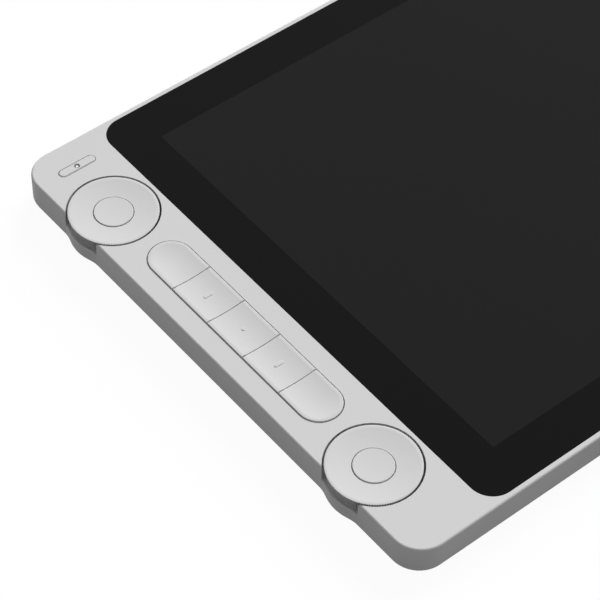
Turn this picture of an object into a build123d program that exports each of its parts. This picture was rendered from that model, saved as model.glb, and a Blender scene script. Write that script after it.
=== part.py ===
from build123d import *
import os
from math import sqrt

os.makedirs("parts", exist_ok=True)

# A drawing tablet with a screen, in millimetres. X runs along the long side, Y away from the user
# and Z up from the table. The control strip with its keys and dials is at the low X end.

# Screen: a laminated panel under a cover glass that sets the size of the whole
active_length = 293.76
active_width = 165.24
glass_border_x = 15.32
glass_border_y = 15.28
glass_thickness = 1.0
glass_corner = 8.1
glass_chamfer = 0.15
glass_gap = 0.1
tape_thickness = 0.3
tape_inset = 0.6
adhesive_thickness = 0.2
adhesive_inset = 1.2
lcd_border_x = 4.0
lcd_border_y = 5.5
lcd_thickness = 1.1

# Backlight, stacked under the panel inside its moulded frame
frame_width = 3.0
film_thickness = 0.4
guide_thickness = 1.0
reflector_thickness = 0.3
sheet_gap = 0.3
led_bar_width = 1.2
led_gap = 0.2
tray_thickness = 0.3
tray_lip = 1.5

# Pen digitizer, its shield and the chassis plate that carries the electronics
digitizer_thickness = 0.8
digitizer_inset_x = 1.0
digitizer_inset_y = 2.1
shield_thickness = 0.4
shield_inset = 0.6
chassis_thickness = 0.8
chassis_margin = 2.8
chassis_corner = 4.0

# Casing: one moulding with the control strip, the rim and all four walls
strip_width = 30.05
rim_width = 2.0
body_thickness = 11.5
body_corner = 10.1
top_rounding = 0.8
bottom_rounding = 1.85
wall = 2.2
plate_thickness = 1.5
ledge_thickness = 1.5
rib_width = 1.5
rib_depth = 5.6
opening_gap = 0.8

# Rear cover and feet
cover_thickness = 1.2
cover_gap = 0.15
foot_height = 1.0
foot_recess = 0.4
foot_length = 46.0
foot_width = 9.0
foot_gap = 0.05
foot_margin_x = 34.0
foot_margin_y = 15.0
foot_edge = 0.5

# Screws and the bosses they go into
screw_radius = 0.95
screw_head_radius = 1.9
screw_head_height = 0.65
cross_length = 2.1
cross_width = 0.45
cross_depth = 0.35
thread_gap = 0.02
clear_gap = 0.2
boss_radius = 2.2
boss_gap = 0.4
boss_inset_x = 5.1
boss_inset_y = 4.4
screen_boss_shares = (-1, -1 / 3, 1 / 3, 1)
chassis_post_shares = (-2 / 3, 0, 2 / 3)
side_post_spacing = 6.0
strip_boss_inset = 4.8
strip_boss_spacing = 1.5
corner_boss_x = 6.4
corner_boss_y = 6.9
pilot_depth = 5.0
cover_screw_length = 5.0
chassis_screw_length = 2.8

# Dials: a wheel with a dished face, a cap in its middle, and the bulge of the casing below it
wheel_radius = 15.0
wheel_rounding = 0.12
wheel_taper = 1.0
wheel_plate = 1.1
wheel_skirt = 1.7
wheel_gap = 0.5
dial_inset = 13.15
dial_setback = 34.54
dial_spacing = 5.36
dial_rim = 0.8
dial_drop = 0.05
dial_dish_depth = 0.8
recess_gap = 0.6
recess_depth = 5.5
recess_wall = 1.2
floor_thickness = 1.1
bulge_out = 1.63
bulge_shift = 0.5
bulge_blend = 11.0
bulge_rounding = 0.35
hub_radius = 8.0
hub_wall = 0.8
hub_drop = 1.05
running_gap = 0.05
cap_radius = 6.46
cap_gap = 0.3
cap_thickness = 1.3
cap_edge = 0.15
cap_rise = 0.25
cap_flange = 0.5
cap_flange_height = 0.8
cap_stem_radius = 2.5
cap_travel = 0.5
guide_wall = 2.0
guide_foot_radius = 6.6
guide_foot_height = 1.0
guide_peg_radius = 0.8
guide_peg_place = 5.4
ring_thickness = 0.5
ring_radius = 9.4
ring_groove = 0.3
ring_play = 0.1
ring_opening = 3.0
magnet_radius = 9.6

# Keys: five in one long slot with round ends between the two dials, dished as one trough and
# slightly proud. A short raised bar marks the second and the fourth, a raised dot the middle one.
keys_width = 15.78
keys_inset = 15.16
key_count = 5
key_end_extra = 0.625
key_slot_gap = 0.4
key_gap = 0.28
key_rise = 0.3
key_travel = 0.6
key_thickness = 2.0
key_edge = 0.15
key_dish_depth = 0.45
key_dish_margin = 1.05
key_flange = 0.5
key_flange_height = 0.7
key_post_radius = 1.2
key_post_place = 5.2
plunger_radius = 1.4
mark_length = 3.5
mark_width = 1.2
mark_height = 0.18
mark_rounding = 0.14

# Power key, with the lens of its indicator in its middle
power_length = 14.4
power_width = 3.64
power_inset = 15.47
power_setback = 11.12
power_gap = 0.2
power_rise = 0.2
power_travel = 0.4
power_thickness = 1.9
power_edge = 0.45
power_flange = 0.5
power_flange_height = 0.6
power_peg_radius = 0.8
power_peg_place = 5.4
power_plunger_place = 2.9
lens_radius = 0.42
lens_recess = 0.3
lens_ring_radius = 1.0
lens_ring_depth = 1.2

# Control board, its switches and sensors, and the frame that guides the keys
board_drop = 1.6
board_thickness = 1.0
board_margin = 0.6
board_end = 8.5
board_corner = 1.0
switch_size = 3.4
switch_height = 1.2
switch_button_radius = 0.8
switch_button_height = 0.3
switch_play = 0.05
sensor_length = 2.9
sensor_width = 1.6
sensor_height = 0.4
led_size = 1.6
led_height = 0.7
led_play = 0.1
control_chip_size = 7.0
control_chip_height = 0.9
control_chip_share = 0.27
key_frame_drop = 2.8
key_frame_thickness = 1.2
key_frame_inset = 3.0
key_frame_corner = 2.0
bush_wall = 0.8
bush_height = 0.6
post_radius = 1.9
post_inset = 4.4
frame_post_share = 0.52
board_post_inset = 6.9
post_pilot = 2.0

# Main board, under the chassis plate at the far right, with two sockets in the right wall
main_length = 110.0
main_width = 50.0
main_thickness = 1.0
main_setback = 13.9
main_margin = 0.5
main_corner = 1.5
standoff_height = 1.5
standoff_radius = 2.2
standoff_inset = 5.0
usb_width = 8.94
usb_height = 3.2
usb_length = 8.6
usb_wall = 0.3
usb_cavity = 6.2
usb_tongue_width = 6.7
usb_tongue_height = 0.7
usb_tongue_length = 4.8
usb_setback = 0.5
usb_gap = 0.15
usb_pitch = 18.0
chip_height = 0.9
big_chip_size = 13.0
small_chip_length = 9.0
small_chip_width = 7.0
big_chip_shares = (-0.2, 0.0)
small_chip_shares = [(0.0, 0.17), (0.12, 0.17), (0.12, -0.2)]
can_length = 26.0
can_width = 18.0
can_height = 1.1
can_wall = 0.2
can_share = 0.17
driver_reach = 28.5
driver_width = 12.0
driver_thickness = 0.6
driver_inset = 12.12
driver_film_inset = 5.0

# Flat cables and the connectors they end in
flex_thickness = 0.2
flex_bend = 0.5
connector_length = 16.0
connector_width = 4.0
connector_height = 1.1
connector_margin = 2.0
ribbon_width = 12.0
control_ribbon_offset = 5.0
digitizer_ribbon_width = 20.0
flex_reach = 6.0
flex_lead = 1.5
slot_gap = 0.5
film_gap = 0.3

# One overrun serves all cuts
overrun = 2.0

# Overall sizes, then places along X: the origin is under the middle of the whole, dials included
glass_length = active_length + 2 * glass_border_x
glass_width = active_width + 2 * glass_border_y
body_length = strip_width + glass_length + rim_width
body_width = glass_width + 2 * rim_width
dial_overhang = wheel_radius - dial_inset
dial_dish_radius = wheel_radius - wheel_rounding - dial_rim
left = dial_overhang - (body_length + dial_overhang) / 2
right = left + body_length
body_x = (left + right) / 2
glass_left = left + strip_width
glass_right = glass_left + glass_length
glass_x = (glass_left + glass_right) / 2
dial_x = left + dial_inset
key_x = left + keys_inset
power_x = left + power_inset

# Places along Y: the dials and the power key from the walls, the keys between the dials
dial_y = body_width / 2 - dial_setback
power_y = body_width / 2 - power_setback
keys_length = 2 * (dial_y - wheel_radius - dial_spacing)
key_pitch = (keys_length - 2 * key_end_extra) / key_count
key_frame_half = keys_length / 2 - key_frame_inset
board_half = body_width / 2 - board_end
dial_places = [(dial_x, dial_y), (dial_x, -dial_y)]
bulge_places = [(x, y + bulge_shift) for x, y in dial_places]

# Places of the two boards under the screen, and of the films and the posts beside them
main_x = right - wall - main_margin - main_length / 2
main_y = body_width / 2 - main_setback - main_width / 2
main_left = main_x - main_length / 2
main_front = main_y - main_width / 2
main_back = main_y + main_width / 2
side_post_y = main_front - side_post_spacing
driver_y = active_width / 2 + lcd_border_y - driver_inset
driver_length = 2 * (main_left + driver_reach - glass_x)
driver_film_length = driver_length - 2 * driver_film_inset
ribbon_x = main_left + driver_reach - connector_length / 2 - connector_margin
control_ribbon_y = main_y - control_ribbon_offset

# Heights, from the table up to the glass
base = foot_height
top = base + body_thickness
glass_under = top - glass_thickness
seat = glass_under - tape_thickness
ledge_under = seat - ledge_thickness
plate_under = top - plate_thickness
lcd_top = glass_under - adhesive_thickness
lcd_under = lcd_top - lcd_thickness
guide_top = lcd_under - film_thickness
guide_under = guide_top - guide_thickness
tray_top = guide_under - reflector_thickness
tray_under = tray_top - tray_thickness
digitizer_under = tray_under - digitizer_thickness
chassis_top = digitizer_under - shield_thickness
chassis_under = chassis_top - chassis_thickness
cover_top = base + cover_thickness
wheel_top = top - dial_drop
key_top = top + key_rise
power_top = top + power_rise
recess_floor = top - recess_depth
floor_under = recess_floor - floor_thickness
board_top = floor_under - board_drop
board_under = board_top - board_thickness
switch_top = board_top + switch_height + switch_button_height
key_frame_top = plate_under - key_frame_drop
key_frame_under = key_frame_top - key_frame_thickness
main_top = chassis_under - standoff_height
main_under = main_top - main_thickness
usb_z = (main_top + main_under) / 2

# Outlines shared by neighbouring pieces
lcd_length = active_length + 2 * lcd_border_x
lcd_width = active_width + 2 * lcd_border_y
tray_length = lcd_length + 2 * tray_thickness
tray_width = lcd_width + 2 * tray_thickness
opening_length = tray_length + 2 * opening_gap
opening_width = tray_width + 2 * opening_gap
chassis_length = glass_length - 2 * chassis_margin
chassis_width = glass_width - 2 * chassis_margin
inner_length = body_length - 2 * wall
inner_width = body_width - 2 * wall
inner_corner = body_corner - wall
recess_radius = wheel_radius + recess_gap
bulge_radius = dial_inset + bulge_out
hub_bore = cap_radius + cap_gap
hub_inner = hub_radius - hub_wall
pilot_radius = screw_radius + thread_gap
clear_radius = screw_radius + clear_gap

# Places of bosses, posts and screws
boss_x = glass_length / 2 - boss_inset_x
boss_y = glass_width / 2 - boss_inset_y
screen_bosses = [(glass_x + share * boss_x, side * boss_y)
                 for share in screen_boss_shares for side in (-1, 1)]
screen_bosses.append((glass_x + boss_x, 0))
strip_boss_y = keys_length / 2 + strip_boss_spacing
strip_bosses = [(left + strip_boss_inset, side * strip_boss_y) for side in (-1, 1)]
strip_bosses += [(left + corner_boss_x, side * (body_width / 2 - corner_boss_y)) for side in (-1, 1)]
casing_bosses = screen_bosses + strip_bosses
chassis_posts = [(glass_x + share * boss_x, side * boss_y)
                 for share in chassis_post_shares for side in (-1, 1)]
chassis_posts += [(glass_x + end * boss_x, side * side_post_y)
                  for end in (-1, 1) for side in (-1, 1)]
post_columns = (left + post_inset, glass_left - post_inset)
frame_posts = [(x, side * frame_post_share * key_frame_half)
               for x in post_columns for side in (-1, 1)]
board_posts = [(x, side * (board_half - board_post_inset))
               for x in post_columns for side in (-1, 1)]
usb_places = (main_y - usb_pitch / 2, main_y + usb_pitch / 2)


def upright(x, y):
    """The plane that stands on the point (x, y), seen from the front: sideways and up."""
    return Plane(origin=(x, y, 0), x_dir=(1, 0, 0), z_dir=(0, -1, 0))


def from_left(x):
    """The plane square to X at x, facing right, with Y sideways and Z up."""
    return Plane(origin=(x, 0, 0), x_dir=(0, 1, 0), z_dir=(1, 0, 0))


def slab(length, width, thickness, under, corner=0.0, x=glass_x, y=0.0):
    """A flat sheet of the screen's stack, its underside at a height, in the open builder."""
    with BuildSketch(Plane.XY.offset(under)) as outline:
        with Locations((x, y)):
            if corner:
                RectangleRounded(length, width, corner)
            else:
                Rectangle(length, width)
    extrude(outline.sketch, amount=thickness)


def holes(places, radius, low, high):
    """Round holes through the open builder's part, between two heights."""
    with BuildSketch(Plane.XY.offset(low)) as circles:
        with Locations(*places):
            Circle(radius)
    extrude(circles.sketch, amount=high - low, mode=Mode.SUBTRACT)


def columns(places, radius, low, high):
    """Round columns added to the open builder's part, between two heights."""
    with BuildSketch(Plane.XY.offset(low)) as circles:
        with Locations(*places):
            Circle(radius)
    extrude(circles.sketch, amount=high - low)


def screws(places, face, length):
    """Pan-head screws driven upwards, with their heads under a face and a cross in each head."""
    columns(places, screw_radius, face, face + length)
    columns(places, screw_head_radius, face - screw_head_height, face)
    with BuildSketch(Plane.XY.offset(face - screw_head_height)) as crosses:
        with Locations(*places):
            Rectangle(cross_length, cross_width)
            Rectangle(cross_width, cross_length)
    extrude(crosses.sketch, amount=cross_depth, mode=Mode.SUBTRACT)


# The room inside the control strip, around the walls and floors of the two dial recesses
with BuildPart() as strip_hollow:
    with BuildSketch(Plane.XY.offset(base)):
        with Locations((body_x, 0)):
            RectangleRounded(inner_length, inner_width, inner_corner)
        with Locations(((left + glass_left - rib_width) / 2, 0)):
            Rectangle(strip_width - rib_width, inner_width, mode=Mode.INTERSECT)
    extrude(amount=plate_under - base)
    holes(dial_places, recess_radius + recess_wall, floor_under, top)

# Upper casing: the visible grey shell, glass seat, dial recesses, key openings and bosses
with BuildPart() as upper_casing:
    with BuildSketch(Plane.XY.offset(base)) as lower_outline:
        with Locations((body_x, 0)):
            RectangleRounded(body_length, body_width, body_corner)
        with Locations(*bulge_places):
            Circle(bulge_radius)
        notches = ShapeList()
        for x, y in bulge_places:
            notches += lower_outline.vertices().sort_by_distance((left, y))[:2]
        fillet(notches, bulge_blend)
    extrude(amount=body_thickness - recess_depth)
    fillet(upper_casing.faces().sort_by(Axis.Z)[0].edges(), bottom_rounding)
    fillet(upper_casing.faces().sort_by(Axis.Z)[-1].edges(), bulge_rounding)
    with BuildSketch(Plane.XY.offset(recess_floor - bulge_rounding)):
        with Locations((body_x, 0)):
            RectangleRounded(body_length, body_width, body_corner)
    extrude(amount=recess_depth + bulge_rounding)
    fillet(upper_casing.faces().sort_by(Axis.Z)[-1].edges(), top_rounding)
    # Glass seat and the opening for the display under it
    with BuildSketch(Plane.XY.offset(seat)):
        with Locations((glass_x, 0)):
            RectangleRounded(glass_length + 2 * glass_gap, glass_width + 2 * glass_gap,
                             glass_corner + glass_gap)
    extrude(amount=top - seat + overrun, mode=Mode.SUBTRACT)
    with BuildSketch(Plane.XY.offset(base)):
        with Locations((glass_x, 0)):
            Rectangle(opening_length, opening_width)
    extrude(amount=top - base, mode=Mode.SUBTRACT)
    # Rooms inside: the strip, the space under the glass ledge, and the common space at the bottom
    add(strip_hollow.part, mode=Mode.SUBTRACT)
    for low, high, start in ((base, ledge_under, glass_left), (base, top - rib_depth, left)):
        with BuildSketch(Plane.XY.offset(low)):
            with Locations((body_x, 0)):
                RectangleRounded(inner_length, inner_width, inner_corner)
            with Locations(((start + right) / 2, 0)):
                Rectangle(right - start, body_width, mode=Mode.INTERSECT)
        extrude(amount=high - low, mode=Mode.SUBTRACT)
    # Dial recesses, each with a bore for the wheel's hub
    holes(dial_places, recess_radius, recess_floor, top + overrun)
    holes(dial_places, hub_radius + running_gap, base, top)
    # Openings for the keys and the power key
    with BuildSketch(Plane.XY.offset(plate_under)):
        with Locations((key_x, 0)):
            SlotOverall(keys_length, keys_width, rotation=90)
        with Locations((power_x, power_y)):
            SlotOverall(power_length, power_width)
    extrude(amount=plate_thickness + overrun, mode=Mode.SUBTRACT)
    # Bosses for the rear cover, posts for the chassis plate, the key frame and the control board
    columns(screen_bosses, boss_radius, cover_top, ledge_under + ledge_thickness / 2)
    columns(strip_bosses, boss_radius, cover_top, plate_under + plate_thickness / 2)
    columns(chassis_posts, boss_radius, chassis_top, ledge_under + ledge_thickness / 2)
    columns(frame_posts, post_radius, key_frame_top, plate_under + plate_thickness / 2)
    columns(board_posts, post_radius, board_top, plate_under + plate_thickness / 2)
    holes(casing_bosses, pilot_radius, cover_top, cover_top + pilot_depth)
    holes(chassis_posts, pilot_radius, chassis_top, chassis_top + chassis_screw_length)
    holes(frame_posts, pilot_radius, key_frame_top, key_frame_top + post_pilot)
    holes(board_posts, pilot_radius, board_top, board_top + post_pilot)
    # Two socket openings in the right wall
    with BuildSketch(from_left(right - wall - overrun)):
        for y in usb_places:
            with Locations((y, usb_z)):
                SlotOverall(usb_width + 2 * usb_gap, usb_height + 2 * usb_gap)
    extrude(amount=wall + 2 * overrun, mode=Mode.SUBTRACT)
upper_casing.part.label = "upper_casing"
export_step(upper_casing.part, "parts/upper_casing.step")

# Rear cover: a flat plate let into the casing's underside, with screw and foot recesses
cover_length = inner_length - 2 * cover_gap
cover_width = inner_width - 2 * cover_gap
foot_x = cover_length / 2 - foot_margin_x
foot_y = cover_width / 2 - foot_margin_y
foot_places = [(body_x + end * foot_x, side * foot_y) for side in (-1, 1) for end in (-1, 1)]
with BuildPart() as rear_cover:
    slab(cover_length, cover_width, cover_thickness, base, inner_corner - cover_gap, body_x)
    holes(casing_bosses, clear_radius, base, cover_top)
    holes(casing_bosses, screw_head_radius + clear_gap, base, base + screw_head_height)
    with BuildSketch(Plane.XY.offset(base)):
        with Locations(*foot_places):
            SlotOverall(foot_length + 2 * foot_gap, foot_width + 2 * foot_gap)
    extrude(amount=foot_recess, mode=Mode.SUBTRACT)
rear_cover.part.label = "rear_cover"
export_step(rear_cover.part, "parts/rear_cover.step")

# Rubber feet, glued into the recesses of the rear cover
foot_names = ["foot_front_left", "foot_front_right", "foot_back_left", "foot_back_right"]
for name, place in zip(foot_names, foot_places):
    with BuildPart() as foot:
        with BuildSketch():
            with Locations(place):
                SlotOverall(foot_length, foot_width)
        extrude(amount=foot_height + foot_recess)
        fillet(foot.faces().sort_by(Axis.Z)[0].edges(), foot_edge)
    foot.part.label = name
    export_step(foot.part, f"parts/{name}.step")

# Casing screws, with their heads sunk in the rear cover
with BuildPart() as casing_screws:
    screws(casing_bosses, base + screw_head_height, cover_screw_length)
casing_screws.part.label = "casing_screws"
export_step(casing_screws.part, "parts/casing_screws.step")

# Cover glass, with a fine chamfer round its upper edge
with BuildPart() as cover_glass:
    slab(glass_length, glass_width, glass_thickness, glass_under, glass_corner)
    chamfer(cover_glass.faces().sort_by(Axis.Z)[-1].edges(), glass_chamfer)
cover_glass.part.label = "cover_glass"
export_step(cover_glass.part, "parts/cover_glass.step")

# Tape that holds the glass on the casing's ledge
with BuildPart() as glass_tape:
    slab(glass_length - 2 * tape_inset, glass_width - 2 * tape_inset, tape_thickness, seat,
         glass_corner - tape_inset)
    with BuildSketch(Plane.XY.offset(seat)):
        with Locations((glass_x, 0)):
            Rectangle(opening_length, opening_width)
    extrude(amount=tape_thickness, mode=Mode.SUBTRACT)
glass_tape.part.label = "glass_tape"
export_step(glass_tape.part, "parts/glass_tape.step")

# Clear adhesive between the glass and the panel
with BuildPart() as optical_adhesive:
    slab(lcd_length - 2 * adhesive_inset, lcd_width - 2 * adhesive_inset, adhesive_thickness, lcd_top)
optical_adhesive.part.label = "optical_adhesive"
export_step(optical_adhesive.part, "parts/optical_adhesive.step")

# Liquid crystal panel
with BuildPart() as lcd_panel:
    slab(lcd_length, lcd_width, lcd_thickness, lcd_under)
lcd_panel.part.label = "lcd_panel"
export_step(lcd_panel.part, "parts/lcd_panel.step")

# Moulded frame round the sheets of the backlight
room_length = lcd_length - 2 * frame_width
room_width = lcd_width - 2 * frame_width
with BuildPart() as panel_frame:
    slab(lcd_length, lcd_width, lcd_under - tray_top, tray_top)
    with BuildSketch(Plane.XY.offset(tray_top)):
        with Locations((glass_x, 0)):
            Rectangle(room_length, room_width)
    extrude(amount=lcd_under - tray_top, mode=Mode.SUBTRACT)
panel_frame.part.label = "panel_frame"
export_step(panel_frame.part, "parts/panel_frame.step")

# Diffuser and prism films, light guide and reflector, loose in the frame
sheet_length = room_length - 2 * sheet_gap
sheet_width = room_width - 2 * sheet_gap
with BuildPart() as diffuser_films:
    slab(sheet_length, sheet_width, film_thickness, guide_top)
diffuser_films.part.label = "diffuser_films"
export_step(diffuser_films.part, "parts/diffuser_films.step")

light_guide_width = sheet_width - led_bar_width - led_gap
with BuildPart() as light_guide:
    slab(sheet_length, light_guide_width, guide_thickness, guide_under,
         y=(sheet_width - light_guide_width) / 2)
light_guide.part.label = "light_guide"
export_step(light_guide.part, "parts/light_guide.step")

with BuildPart() as reflector_sheet:
    slab(sheet_length, sheet_width, reflector_thickness, tray_top)
reflector_sheet.part.label = "reflector_sheet"
export_step(reflector_sheet.part, "parts/reflector_sheet.step")

# Bar of backlight diodes along the light guide's front edge
with BuildPart() as led_bar:
    slab(sheet_length, led_bar_width, guide_thickness, guide_under,
         y=(led_bar_width - sheet_width) / 2)
led_bar.part.label = "led_bar"
export_step(led_bar.part, "parts/led_bar.step")

# Pressed steel tray with a low lip, under the frame
with BuildPart() as backlight_tray:
    slab(tray_length, tray_width, tray_thickness + tray_lip, tray_under)
    with BuildSketch(Plane.XY.offset(tray_top)):
        with Locations((glass_x, 0)):
            Rectangle(lcd_length, lcd_width)
    extrude(amount=tray_lip, mode=Mode.SUBTRACT)
backlight_tray.part.label = "backlight_tray"
export_step(backlight_tray.part, "parts/backlight_tray.step")

# Pen digitizer: a thin board with the loops that find the pen
digitizer_length = lcd_length - 2 * digitizer_inset_x
digitizer_width = lcd_width - 2 * digitizer_inset_y
with BuildPart() as digitizer_board:
    slab(digitizer_length, digitizer_width, digitizer_thickness, digitizer_under)
digitizer_board.part.label = "digitizer_board"
export_step(digitizer_board.part, "parts/digitizer_board.step")

# Steel sheet that screens the digitizer from the electronics below
shield_width = digitizer_width - 2 * shield_inset
with BuildPart() as shield_plate:
    slab(digitizer_length - 2 * shield_inset, shield_width, shield_thickness, chassis_top)
shield_plate.part.label = "shield_plate"
export_step(shield_plate.part, "parts/shield_plate.step")

# Places of the films that pass through the chassis plate
film_y = -(tray_width / 2 + film_gap)
tail_y = digitizer_width / 2 + flex_reach / 2

# Chassis plate: aluminium sheet, screwed under the glass ledge
with BuildPart() as chassis_plate:
    slab(chassis_length, chassis_width, chassis_thickness, chassis_under, chassis_corner)
    holes(screen_bosses, boss_radius + boss_gap, chassis_under, chassis_top)
    holes(chassis_posts, clear_radius, chassis_under, chassis_top)
    with BuildSketch(Plane.XY.offset(chassis_under)):
        with Locations((glass_x, film_y)):
            Rectangle(driver_film_length + 2 * slot_gap, flex_thickness + 2 * slot_gap)
        with Locations((main_x, tail_y)):
            Rectangle(digitizer_ribbon_width + 2 * slot_gap, flex_thickness + 2 * slot_gap)
    extrude(amount=chassis_thickness, mode=Mode.SUBTRACT)
chassis_plate.part.label = "chassis_plate"
export_step(chassis_plate.part, "parts/chassis_plate.step")

with BuildPart() as chassis_screws:
    screws(chassis_posts, chassis_under, chassis_screw_length)
chassis_screws.part.label = "chassis_screws"
export_step(chassis_screws.part, "parts/chassis_screws.step")

# Main board on four stand-offs, notched at the right for the sockets
standoff_x = main_length / 2 - standoff_inset
standoff_y = main_width / 2 - standoff_inset
standoffs = [(main_x + end * standoff_x, main_y + side * standoff_y)
             for end in (-1, 1) for side in (-1, 1)]
usb_mouth = right - usb_setback
with BuildPart() as main_board:
    slab(main_length, main_width, main_thickness, main_under, main_corner, main_x, main_y)
    holes(standoffs, clear_radius, main_under, main_top)
    notch_depth = usb_length - (right - usb_setback - main_x - main_length / 2)
    with BuildSketch(Plane.XY.offset(main_under)):
        for y in usb_places:
            with Locations((main_x + main_length / 2, y)):
                Rectangle(2 * notch_depth, usb_width + 2 * thread_gap)
    extrude(amount=main_thickness, mode=Mode.SUBTRACT)
main_board.part.label = "main_board"
export_step(main_board.part, "parts/main_board.step")

with BuildPart() as board_standoffs:
    columns(standoffs, standoff_radius, main_top, chassis_under)
    holes(standoffs, pilot_radius, main_top, chassis_under)
board_standoffs.part.label = "board_standoffs"
export_step(board_standoffs.part, "parts/board_standoffs.step")

with BuildPart() as main_board_screws:
    screws(standoffs, main_under, main_thickness + standoff_height - clear_gap)
main_board_screws.part.label = "main_board_screws"
export_step(main_board_screws.part, "parts/main_board_screws.step")

# Sockets: a drawn steel shell, closed at the back, with a flat tongue inside
for number, y in enumerate(usb_places, start=1):
    with BuildPart() as usb_socket:
        with BuildSketch(from_left(usb_mouth - usb_length)):
            with Locations((y, usb_z)):
                SlotOverall(usb_width, usb_height)
        extrude(amount=usb_length)
        with BuildSketch(from_left(usb_mouth - usb_cavity)):
            with Locations((y, usb_z)):
                SlotOverall(usb_width - 2 * usb_wall, usb_height - 2 * usb_wall)
        extrude(amount=usb_cavity, mode=Mode.SUBTRACT)
        with BuildSketch(from_left(usb_mouth - usb_cavity)):
            with Locations((y, usb_z)):
                Rectangle(usb_tongue_width, usb_tongue_height)
        extrude(amount=usb_tongue_length)
    usb_socket.part.label = f"usb_socket_{number}"
    export_step(usb_socket.part, f"parts/usb_socket_{number}.step")

# Chips on the main board's underside, and a pressed can over the power circuit on its upper side
small_chips = [(main_x + along * main_length, main_y + across * main_width)
               for along, across in small_chip_shares]
with BuildPart() as main_chips:
    with BuildSketch(Plane.XY.offset(main_under - chip_height)):
        with Locations((main_x + big_chip_shares[0] * main_length,
                        main_y + big_chip_shares[1] * main_width)):
            Rectangle(big_chip_size, big_chip_size)
        with Locations(*small_chips):
            Rectangle(small_chip_length, small_chip_width)
    extrude(amount=chip_height)
main_chips.part.label = "main_chips"
export_step(main_chips.part, "parts/main_chips.step")

can_x = main_x + can_share * main_length
with BuildPart() as shield_can:
    slab(can_length, can_width, can_height, main_top, x=can_x, y=main_y)
    with BuildSketch(Plane.XY.offset(main_top)):
        with Locations((can_x, main_y)):
            Rectangle(can_length - 2 * can_wall, can_width - 2 * can_wall)
    extrude(amount=can_height - can_wall, mode=Mode.SUBTRACT)
shield_can.part.label = "shield_can"
export_step(shield_can.part, "parts/shield_can.step")

# Long narrow board that drives the panel, taped under the chassis plate
driver_under = chassis_under - driver_thickness
with BuildPart() as display_driver_board:
    slab(driver_length, driver_width, driver_thickness, driver_under, y=-driver_y)
display_driver_board.part.label = "display_driver_board"
export_step(display_driver_board.part, "parts/display_driver_board.step")

# Film from the panel's front edge, down through the chassis plate to the driver board
with BuildPart() as display_flex:
    film_face = lcd_under + lcd_thickness / 2
    film_low = driver_under - flex_thickness
    with BuildSketch(from_left(glass_x)):
        with BuildLine():
            FilletPolyline((-lcd_width / 2, film_face), (film_y, film_face), (film_y, film_low),
                           (-driver_y, film_low), radius=flex_thickness)
            offset(amount=flex_thickness, side=Side.LEFT)
        make_face()
    extrude(amount=driver_film_length / 2, both=True)
display_flex.part.label = "display_flex"
export_step(display_flex.part, "parts/display_flex.step")

# Connectors: on the driver board, on the main board for three cables, and on the control board
control_right = glass_left - rib_width - board_margin
with BuildPart() as flex_connectors:
    with BuildSketch(Plane.XY.offset(driver_under - connector_height)):
        with Locations((ribbon_x, -driver_y + driver_width / 2 - connector_width / 2)):
            Rectangle(connector_length, connector_width)
    extrude(amount=connector_height)
    with BuildSketch(Plane.XY.offset(main_top)):
        with Locations((ribbon_x, main_front + connector_width / 2)):
            Rectangle(connector_length, connector_width)
        with Locations((main_left + connector_width / 2, control_ribbon_y)):
            Rectangle(connector_width, connector_length)
        with Locations((main_x, main_back - connector_width / 2)):
            Rectangle(digitizer_ribbon_width, connector_width)
    extrude(amount=connector_height)
    with BuildSketch(Plane.XY.offset(board_top)):
        with Locations((control_right - connector_width / 2, control_ribbon_y)):
            Rectangle(connector_width, connector_length)
    extrude(amount=connector_height)
flex_connectors.part.label = "flex_connectors"
export_step(flex_connectors.part, "parts/flex_connectors.step")

# Flat cables, each laid against the chassis plate between its two connectors
run_high = chassis_under - flex_thickness
driver_mouth = driver_under - connector_height / 2
main_mouth = main_top + connector_height / 2 - flex_thickness
control_mouth = board_top + connector_height / 2
with BuildPart() as display_cable:
    start = -driver_y + driver_width / 2
    with BuildSketch(from_left(ribbon_x)):
        with BuildLine():
            FilletPolyline((start, driver_mouth), (start + flex_lead, driver_mouth),
                           (start + flex_reach, run_high), (main_front - flex_reach, run_high),
                           (main_front - flex_lead, main_mouth), (main_front, main_mouth),
                           radius=flex_bend)
            offset(amount=flex_thickness, side=Side.LEFT)
        make_face()
    extrude(amount=ribbon_width / 2, both=True)
display_cable.part.label = "display_cable"
export_step(display_cable.part, "parts/display_cable.step")

with BuildPart() as control_cable:
    with BuildSketch(upright(0, control_ribbon_y)):
        with BuildLine():
            FilletPolyline((control_right, control_mouth), (control_right + flex_lead, control_mouth),
                           (control_right + flex_reach, run_high), (main_left - flex_reach, run_high),
                           (main_left - flex_lead, main_mouth), (main_left, main_mouth),
                           radius=flex_bend)
            offset(amount=flex_thickness, side=Side.LEFT)
        make_face()
    extrude(amount=ribbon_width / 2, both=True)
control_cable.part.label = "control_cable"
export_step(control_cable.part, "parts/control_cable.step")

with BuildPart() as digitizer_cable:
    tail_z = digitizer_under + digitizer_thickness / 2
    with BuildSketch(from_left(main_x)):
        with BuildLine():
            FilletPolyline((digitizer_width / 2, tail_z), (tail_y, tail_z), (tail_y, main_mouth),
                           (main_back, main_mouth), radius=flex_bend)
            offset(amount=flex_thickness, side=Side.RIGHT)
        make_face()
    extrude(amount=digitizer_ribbon_width / 2 - slot_gap, both=True)
digitizer_cable.part.label = "digitizer_cable"
export_step(digitizer_cable.part, "parts/digitizer_cable.step")

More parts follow.
